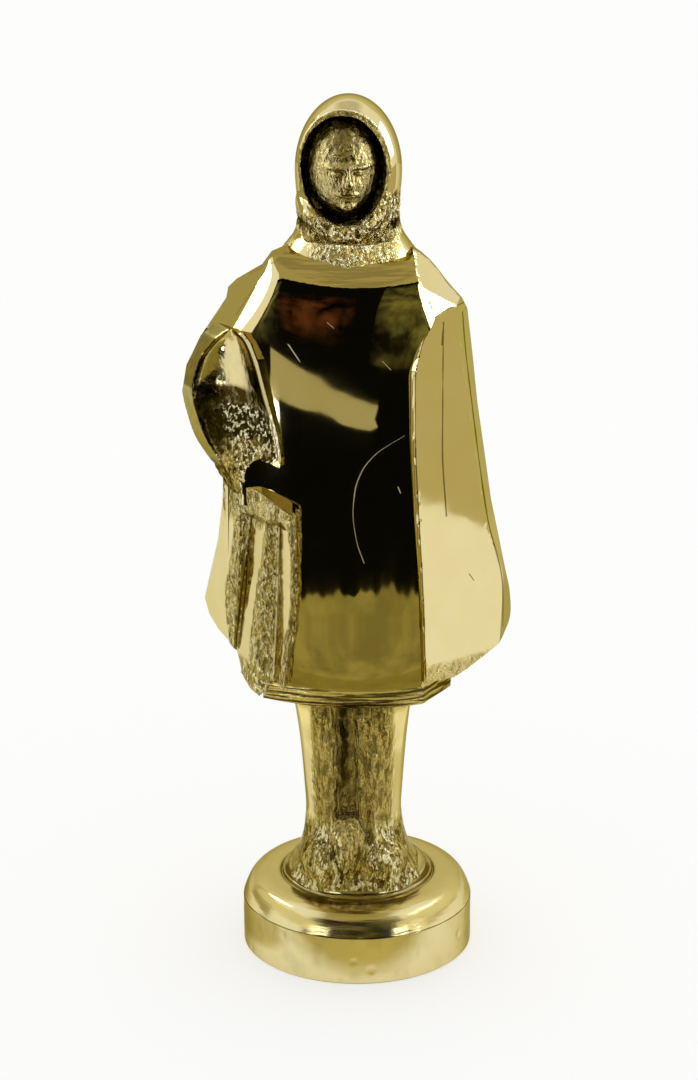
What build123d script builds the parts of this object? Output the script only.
"""Hooded brass figurine on a turned disc base.

The figurine stands on Z = 0 and faces -Y, +Z up, with the origin on the base's axis at its underside.
All sizes are in millimetres. The figurine's own right side is at -X.

It comes apart on a bench from below: a cheese-head screw and its spring washer pull the legs casting down
onto the base, a dowel stops it turning, the legs' tenon enters the tunic, and the cloak, the sleeve,
the drapery, the collar, the head and the hood seat on the tunic with pegs cast on them.
"""

import os

from build123d import *

# --- driving dimensions -------------------------------------------------------------------------
base_diameter = 25.4  # one-inch bar
base_wall_height = 5.5
dome_height = 8.0
dome_shoulder_in, dome_shoulder_drop = 1.5, 0.55  # the shoulder passes this far inside and below its corner
wall_end_direction, dome_end_direction = (-0.45, 1), (-1, 0.08)
figure_height = 95.9
hem_height = 31.2
neckline_height = 80.0
lean = -0.9  # the figure's axis drifts this far in X between the feet and the head
fit_clearance = 0.05  # all round a peg, a tenon or a spigot in its socket

# --- fastener sizes -----------------------------------------------------------------------------
screw_radius = 2.0  # M4
screw_head_radius, screw_head_height = 3.5, 2.6
screw_length = 12.0
screw_slot_width, screw_slot_depth = 1.2, 1.1
screw_edge = 0.4  # rounding of the head's underside rim and chamfer at the thread's end
washer_outer_radius, washer_inner_radius, washer_thickness = 3.8, 2.05, 0.9
washer_gap = 0.8
dowel_radius, dowel_length = 1.0, 5.0
dowel_offset = 4.6
dowel_chamfer, dowel_slip = 0.2, 0.01

# --- base ---------------------------------------------------------------------------------------
base_radius = base_diameter / 2
underside_relief_radius, underside_relief_depth = 10.2, 0.5
counterbore_radius, counterbore_depth = 4.2, 4.2
screw_clearance_radius = 2.25
foot_recess_radius, foot_recess_floor = 6.6, 7.0
lower_ring_radius, lower_ring_top = 8.4, 8.6
upper_ring_radius, upper_ring_top = 7.8, 9.3
edge_break = 0.3

# --- legs ---------------------------------------------------------------------------------------
foot_flange_radius = foot_recess_radius - fit_clearance
screw_bore_depth = 9.0
leg_sections = [  # height, half width over both legs, half depth, centre X
    (upper_ring_top, 7.1, 6.6, -0.05),
    (11.0, 6.1, 5.9, -0.25),
    (16.4, 5.25, 4.9, -0.40),
    (23.0, 5.8, 5.1, -0.45),
    (hem_height, 6.5, 5.4, -0.50),
]
leg_groove_width, leg_groove_depth, leg_groove_gap = 2.6, 1.1, 0.5
toe_radius, toe_reach, toe_height = 1.6, 7.4, 15.5
tenon_width, tenon_depth, tenon_height = 6.0, 4.0, 5.0

# --- tunic: each plan runs from the front left corner over the front to the back left corner --------
hem_band_height = 3.0
hem_flange_height = 1.2  # the hem's right end sticks out this high under the cloak
tunic_sections = {
    hem_height: [(-10.0, -7.6), (-5.5, -10.2), (-0.6, -10.9), (3.5, -10.3), (7.0, -8.7), (10.2, -5.2),
                 (10.2, 4.6), (-10.0, 4.6)],
    hem_height + hem_flange_height: [(-9.9, -8.1), (-5.4, -10.6), (-0.6, -11.2), (3.5, -10.7), (7.1, -8.9),
                                     (10.1, -5.2), (10.1, 4.6), (-9.9, 4.6)],
    hem_height + hem_band_height: [(-9.6, -8.6), (-5.2, -10.9), (-0.6, -11.4), (3.6, -10.9), (7.3, -9.2),
                                   (7.2, -5.6), (7.0, 4.6), (-9.6, 4.6)],
    50.0: [(-9.0, -8.6), (-4.8, -10.1), (-0.8, -10.5), (3.0, -10.2), (6.3, -8.9), (6.2, -5.8),
           (6.0, 4.5), (-9.0, 4.5)],
    60.0: [(-9.0, -8.2), (-4.8, -9.6), (-0.9, -10.0), (2.9, -9.7), (6.1, -8.5), (6.0, -5.5),
           (5.8, 4.2), (-9.0, 4.2)],
    68.0: [(-9.4, -7.2), (-5.0, -9.0), (-1.0, -9.4), (2.8, -9.1), (5.95, -7.9), (5.85, -5.0),
           (5.65, 4.0), (-9.4, 4.0)],
    74.0: [(-9.8, -5.6), (-5.4, -8.0), (-1.0, -8.7), (3.4, -8.2), (7.4, -6.1), (7.3, -4.0),
           (7.1, 3.6), (-9.8, 3.6)],
    77.5: [(-8.4, -5.1), (-4.6, -7.5), (-1.0, -8.2), (2.9, -7.7), (6.3, -5.7), (6.2, -3.5),
           (6.0, 3.2), (-8.4, 3.2)],
    neckline_height: [(-7.4, -4.2), (-4.2, -6.3), (-1.0, -6.9), (2.4, -6.4), (5.4, -4.6), (5.3, -3.0),
                      (5.1, 3.0), (-7.4, 3.0)],
}

# --- cloak: it wraps the tunic's right arris, back and left side ----------------------------------
cloak_edge_depth = -2.6  # Y of the cloak's outer edge at the sides
cloak_side_depth = 2.6  # Y where its side turns into its back
cloak_back = {hem_height: 9.0, 50.0: 8.7, 68.0: 7.8, 74.0: 6.8, neckline_height: 5.4}
back_half_width, back_fall = 8.4, 1.4
panel_slope = 1.05  # the left panel runs back this much for each millimetre it runs out
cloak_tuck = 0.5  # the panel's inner edge starts this far behind the tunic's arris
cloak_outline = [  # the front view, clockwise from the neck's right side
    (6.6, 79.4), (8.7, 76.6), (11.6, 73.6), (12.7, 62.9), (14.4, 51.6), (16.8, 40.1), (17.3, 38.4),
    (17.0, 37.0), (16.0, 36.0), (10.6, 32.9), (7.4, 34.3),
    (-8.6, 34.3), (-13.6, 35.5), (-15.2, 36.4), (-16.3, 37.4), (-16.6, 39.5), (-15.1, 47.0), (-14.5, 54.4),
    (-16.8, 57.2), (-18.3, 60.5), (-18.8, 64.0), (-18.2, 67.2), (-17.1, 69.5), (-14.4, 73.9),
    (-13.7, 75.0), (-9.9, 78.3), (-7.6, 80.2),
]

# --- sleeve, drapery ------------------------------------------------------------------------------
sleeve_outline = [
    (-13.9, 74.3), (-14.6, 73.2), (-17.0, 69.3), (-18.2, 66.6), (-18.6, 64.0), (-18.2, 60.9),
    (-16.7, 57.6), (-14.4, 55.0), (-12.4, 55.6), (-11.8, 57.6), (-10.0, 58.7), (-8.0, 58.6),
    (-8.5, 61.5), (-9.9, 66.0), (-11.4, 71.6),
]
sleeve_plan = [  # from the outer back corner over the front to the inner back corner
    (-19.5, cloak_edge_depth), (-19.5, -4.2), (-12.0, -8.9), (-7.5, -10.5), (-7.5, cloak_edge_depth),
]
cavity_centre, cavity_radii, cavity_tilt = (-13.2, -9.2, 65.0), (3.5, 5.2, 7.2), 12.0
drapery_outline = [
    (-14.3, 54.0), (-12.2, 53.4), (-10.2, 52.4), (-7.7, 54.0), (-7.0, 53.2), (-6.5, 44.2), (-7.8, 35.2),
    (-10.0, 32.0), (-12.0, 31.8), (-12.6, 33.4), (-13.2, 35.4),
]
drapery_folds = [  # the plan: outer slab, groove, fold, groove, front fold
    (-14.6, -4.4), (-13.3, -5.2), (-12.7, -5.0), (-12.2, -7.9), (-10.6, -8.8), (-10.1, -7.6),
    (-9.1, -8.2), (-8.6, -10.9), (-7.0, -11.6), (-6.3, -10.7), (-6.3, -2.6), (-14.6, -2.6),
]

# --- collar, head, hood -----------------------------------------------------------------------------
head_centre_x = lean
head_turn = -6.0  # degrees about Z, towards the figure's right
neck_spigot_radius, neck_spigot_bottom = 2.4, 74.0
collar_top = 83.2
collar_sections = [  # height, half width, half depth, centre Y
    (neckline_height, 6.3, 4.6, -1.4),
    (81.6, 5.9, 4.9, -1.5),
    (collar_top, 5.0, 4.6, -1.3),
]
hood_radii = (5.65, 6.0, 8.0)
hood_widest = figure_height - hood_radii[2]
hood_bottom = collar_top
hood_draw_in = 0.3
face_opening_tilt = 16.0  # degrees the opening leans back
face_opening_radii = (4.35, 6.3)
face_opening_centre = (-4.6, 88.2)  # Y, Z
face_rebate = 2.4
head_radii = (3.55, 4.0, 5.2)
head_centre = (-1.2, 88.6)  # Y, Z
neck_radius = 2.6

# --- pegs cast on the outer pieces, which enter the tunic --------------------------------------------
peg_radius = 1.2
side_peg_root, side_peg_length = -10.25, 3.75  # X where a side peg starts inside its casting
back_peg_root, back_peg_length = 5.5, 3.5  # Y where a back peg starts inside the cloak
cloak_peg_heights = (42.0, 66.0)
sleeve_peg = (-4.8, 68.0)  # Y, Z
drapery_peg = (-5.2, 44.0)

os.makedirs("parts", exist_ok=True)


def export(piece, name):
    """Labels a finished piece and writes its STEP file."""
    piece.part.label = name
    export_step(piece.part, f"parts/{name}.step")


def ellipsoid(radii, place):
    """A loose ellipsoid at a location."""
    return place * scale(Sphere(1), by=radii)


def outline_prism(points):
    """The front view `points` (X, Z) carried right through the figure along Y, as a loose solid."""
    with BuildPart() as prism:
        with BuildSketch(Plane.XZ):
            Polygon(*points, align=None)
        extrude(amount=2 * base_diameter, both=True)
    return prism.part


def side_peg(y, z, grow=0.0):
    """A peg along X through the tunic's left wall, as a loose solid; grow makes its socket."""
    with BuildPart() as peg:
        with BuildSketch(Plane.YZ.offset(side_peg_root)):
            with Locations((y, z)):
                Circle(peg_radius + grow)
        extrude(amount=side_peg_length + grow)
    return peg.part


def back_peg(z, grow=0.0):
    """A peg along Y through the tunic's back, as a loose solid; grow makes its socket."""
    with BuildPart() as peg:
        with BuildSketch(Plane.XZ.offset(-back_peg_root)):
            with Locations((lean, z)):
                Circle(peg_radius + grow)
        extrude(amount=back_peg_length + grow)
    return peg.part


# --- base: a turned disc, bored for the screw and recessed for the foot flange -----------------------
with BuildPart() as base:
    with BuildSketch(Plane.XZ):
        with BuildLine():
            wall = Polyline(
                (screw_clearance_radius, counterbore_depth),
                (counterbore_radius, counterbore_depth),
                (counterbore_radius, underside_relief_depth),
                (underside_relief_radius, underside_relief_depth),
                (underside_relief_radius, 0),
                (base_radius - edge_break, 0),
                (base_radius, edge_break),
                (base_radius, base_wall_height),
            )
            shoulder = Spline(
                wall @ 1,
                (base_radius - dome_shoulder_in, dome_height - dome_shoulder_drop),
                (lower_ring_radius, dome_height),
                tangents=[wall_end_direction, dome_end_direction],
            )
            Polyline(
                shoulder @ 1,
                (lower_ring_radius, lower_ring_top - edge_break),
                (lower_ring_radius - edge_break, lower_ring_top),
                (upper_ring_radius, lower_ring_top),
                (upper_ring_radius, upper_ring_top - edge_break),
                (upper_ring_radius - edge_break, upper_ring_top),
                (foot_recess_radius, upper_ring_top),
                (foot_recess_radius, foot_recess_floor),
                (screw_clearance_radius, foot_recess_floor),
                (screw_clearance_radius, counterbore_depth),
            )
        make_face()
    revolve(axis=Axis.Z)
    with BuildSketch(Plane.XY.offset(foot_recess_floor)):
        with Locations((0, dowel_offset)):
            Circle(dowel_radius)
    extrude(amount=-dowel_length / 2, mode=Mode.SUBTRACT)
export(base, "base")

# --- legs: two trouser legs joined by a centre fold, on a round foot flange ---------------------------
with BuildPart() as legs:
    with BuildSketch(Plane.XY.offset(foot_recess_floor)):
        Circle(foot_flange_radius)
    extrude(amount=upper_ring_top - foot_recess_floor)
    for height, half_width, half_depth, centre_x in leg_sections:
        with BuildSketch(Plane.XY.offset(height)):
            with Locations((centre_x, 0)):
                Ellipse(half_width, half_depth)
    loft()
    for x in (-leg_groove_width / 2, leg_groove_width / 2):
        with BuildSketch(Plane.XY.offset(toe_height)):
            with Locations((lean / 2 + x, -leg_sections[2][2])):
                Rectangle(leg_groove_gap, 2 * leg_groove_depth)
        extrude(amount=hem_height - toe_height, mode=Mode.SUBTRACT)
    with BuildSketch(Plane.XY.offset(upper_ring_top)):
        with Locations((lean / 4, toe_radius - toe_reach)):
            Circle(toe_radius)
    with BuildSketch(Plane.XY.offset(toe_height)):
        with Locations((lean / 4, -leg_sections[2][2] + toe_radius)):
            Circle(toe_radius)
    loft()
    with BuildSketch(Plane.XY.offset(hem_height)):
        with Locations((lean / 2, 0)):
            Rectangle(tenon_width, tenon_depth)
    extrude(amount=tenon_height)
    with BuildSketch(Plane.XY.offset(foot_recess_floor)):
        Circle(screw_radius + fit_clearance)
    extrude(amount=screw_bore_depth, mode=Mode.SUBTRACT)
    with BuildSketch(Plane.XY.offset(foot_recess_floor)):
        with Locations((0, dowel_offset)):
            Circle(dowel_radius)
    extrude(amount=dowel_length / 2, mode=Mode.SUBTRACT)
export(legs, "legs")

# --- dowel: stops the legs turning on the base --------------------------------------------------------
with BuildPart() as dowel:
    with BuildSketch(Plane.XY.offset(foot_recess_floor - dowel_length / 2)):
        with Locations((0, dowel_offset)):
            Circle(dowel_radius - dowel_slip)
    extrude(amount=dowel_length)
    chamfer(dowel.edges().filter_by(GeomType.CIRCLE), dowel_chamfer)
export(dowel, "locating_dowel")

# --- screw and spring washer ---
washer_bottom = counterbore_depth - washer_thickness
with BuildPart() as screw:
    with BuildSketch(Plane.XY.offset(washer_bottom - screw_head_height)):
        Circle(screw_head_radius)
    extrude(amount=screw_head_height)
    head_rim = screw.edges().group_by(Axis.Z)[0]
    fillet(head_rim, screw_edge)
    with BuildSketch(Plane.XY.offset(washer_bottom)):
        Circle(screw_radius)
    extrude(amount=screw_length)
    chamfer(screw.edges().group_by(Axis.Z)[-1], screw_edge)
    with BuildSketch(Plane.XY.offset(washer_bottom - screw_head_height)):
        Rectangle(2 * screw_head_radius, screw_slot_width)
    extrude(amount=screw_slot_depth, mode=Mode.SUBTRACT)
export(screw, "base_screw")

with BuildPart() as washer:
    with BuildSketch(Plane.XY.offset(washer_bottom)):
        Circle(washer_outer_radius)
        Circle(washer_inner_radius, mode=Mode.SUBTRACT)
        with Locations((0, washer_outer_radius)):
            Rectangle(washer_gap, 2 * washer_outer_radius, mode=Mode.SUBTRACT)
    extrude(amount=washer_thickness)
export(washer, "spring_washer")

# --- tunic: faceted body with a hem band, sockets for the tenon, the neck and the pegs ---
with BuildPart() as tunic:
    for height, corners in tunic_sections.items():
        with BuildSketch(Plane.XY.offset(height)):
            Polygon(*corners, align=None)
    loft(ruled=True)
    tunic_form = tunic.part
    with BuildSketch(Plane.XY.offset(hem_height)):
        with Locations((lean / 2, 0)):
            Rectangle(tenon_width + 2 * fit_clearance, tenon_depth + 2 * fit_clearance)
    extrude(amount=tenon_height + fit_clearance, mode=Mode.SUBTRACT)
    with BuildSketch(Plane.XY.offset(neck_spigot_bottom - fit_clearance)):
        with Locations((head_centre_x, 0)):
            Circle(neck_spigot_radius + fit_clearance)
    extrude(amount=figure_height - neck_spigot_bottom, mode=Mode.SUBTRACT)
    for peg_z in cloak_peg_heights:
        add(back_peg(peg_z, fit_clearance), mode=Mode.SUBTRACT)
    for peg_y, peg_z in (sleeve_peg, drapery_peg):
        add(side_peg(peg_y, peg_z, fit_clearance), mode=Mode.SUBTRACT)
export(tunic, "tunic")


def back_at(height):
    """Y of the cloak's back at a height, between the stated ones."""
    heights = sorted(cloak_back)
    for low, high in zip(heights, heights[1:]):
        if low <= height <= high:
            share = (height - low) / (high - low)
            return cloak_back[low] + share * (cloak_back[high] - cloak_back[low])
    return cloak_back[heights[-1]]


def cloak_section(height, corners):
    """The cloak's plan before the tunic is taken out of it: right panel, side, back, side, left edge."""
    reach = base_diameter  # beyond the outline, which trims the sides
    arris_x, arris_y = corners[4]
    tucked_x, tucked_y = arris_x + cloak_tuck / 2, arris_y + cloak_tuck
    panel_run = (cloak_edge_depth - tucked_y) / panel_slope
    back = back_at(height)
    return [
        (tucked_x, tucked_y), (tucked_x + panel_run, cloak_edge_depth),
        (reach, cloak_edge_depth), (reach, cloak_side_depth),
        (lean + back_half_width, back - back_fall), (lean, back), (lean - back_half_width, back - back_fall),
        (-reach, cloak_side_depth), (-reach, cloak_edge_depth), (lean, cloak_edge_depth),
    ]


# --- cloak: one casting round the figure's left side, its back and its right side ---
with BuildPart() as cloak:
    for height, corners in tunic_sections.items():
        with BuildSketch(Plane.XY.offset(height)):
            Polygon(*cloak_section(height, corners), align=None)
    loft(ruled=True)
    add(outline_prism(cloak_outline), mode=Mode.INTERSECT)
    add(tunic_form, mode=Mode.SUBTRACT)
    for peg_z in cloak_peg_heights:
        add(back_peg(peg_z))
export(cloak, "cloak")

# --- sleeve: the cloak's fold raised over the right arm, open at the front ---
sleeve_cavity = ellipsoid(cavity_radii, Location(cavity_centre, (0, cavity_tilt, 0)))
with BuildPart() as sleeve:
    with BuildSketch(Plane.XY.offset(hem_height)):
        Polygon(*sleeve_plan, align=None)
    extrude(amount=figure_height - hem_height)
    add(outline_prism(sleeve_outline), mode=Mode.INTERSECT)
    add(tunic_form, mode=Mode.SUBTRACT)
    add(sleeve_cavity, mode=Mode.SUBTRACT)
    add(side_peg(*sleeve_peg))
export(sleeve, "right_sleeve")

# --- drapery: the gathered folds that hang from the right hand ---
with BuildPart() as drapery:
    with BuildSketch(Plane.XY.offset(hem_height)):
        Polygon(*drapery_folds, align=None)
    extrude(amount=neckline_height - hem_height)
    add(outline_prism(drapery_outline), mode=Mode.INTERSECT)
    add(tunic_form, mode=Mode.SUBTRACT)
    add(cloak.part, mode=Mode.SUBTRACT)
    add(side_peg(*drapery_peg))
export(drapery, "right_drapery")

# --- collar: the cloth round the neck, between the tunic's neckline and the hood ---
with BuildPart() as collar:
    for height, half_width, half_depth, centre_y in collar_sections:
        with BuildSketch(Plane.XY.offset(height)):
            with Locations((head_centre_x, centre_y)):
                Ellipse(half_width, half_depth)
    loft()
    with BuildSketch(Plane.XY.offset(neckline_height)):
        with Locations((head_centre_x, 0)):
            Circle(neck_radius + fit_clearance)
    extrude(amount=collar_top - neckline_height, mode=Mode.SUBTRACT)
export(collar, "collar")

# --- head: an egg on a neck, with a spigot that passes the collar into the tunic ---
head_plane = Plane((head_centre_x, 0, 0)).rotated((0, 0, head_turn))
head_place = head_plane.location * Location((0, *head_centre))
head_form = ellipsoid(head_radii, head_place)
with BuildPart() as head:
    add(head_form)
    with BuildSketch(head_plane.offset(neckline_height)):
        Circle(neck_radius)
    extrude(amount=head_centre[1] - neckline_height)
    with BuildSketch(head_plane.offset(neck_spigot_bottom)):
        Circle(neck_spigot_radius)
    extrude(amount=neckline_height - neck_spigot_bottom)
export(head, "head")

# --- hood: a shell over the head, open at the face ---
dome_form = ellipsoid(hood_radii, head_plane.location * Location((0, 0, hood_widest)))
head_hollow = ellipsoid(tuple(radius + fit_clearance for radius in head_radii), head_place)
opening_place = Location((0, *face_opening_centre), (90 - face_opening_tilt, 0, 0))
face_opening = Plane(head_plane.location * opening_place)
with BuildPart() as hood:
    add(dome_form)
    split(bisect_by=Plane.XY.offset(hood_widest), keep=Keep.TOP)
    with BuildSketch(head_plane.offset(hood_bottom)):
        Ellipse(hood_radii[0] - hood_draw_in, hood_radii[1] - hood_draw_in)
    with BuildSketch(head_plane.offset(hood_widest)):
        Ellipse(hood_radii[0], hood_radii[1])
    loft()
    add(head_hollow, mode=Mode.SUBTRACT)
    with BuildSketch(face_opening.offset(-face_rebate)):
        Ellipse(*face_opening_radii)
    extrude(amount=2 * hood_radii[1], mode=Mode.SUBTRACT)
    with BuildSketch(head_plane.offset(hood_bottom)):
        with Locations((0, head_centre[0])):
            Ellipse(head_radii[0] + fit_clearance, head_radii[1] + fit_clearance)
    extrude(amount=head_centre[1] - hood_bottom, mode=Mode.SUBTRACT)
export(hood, "hood")
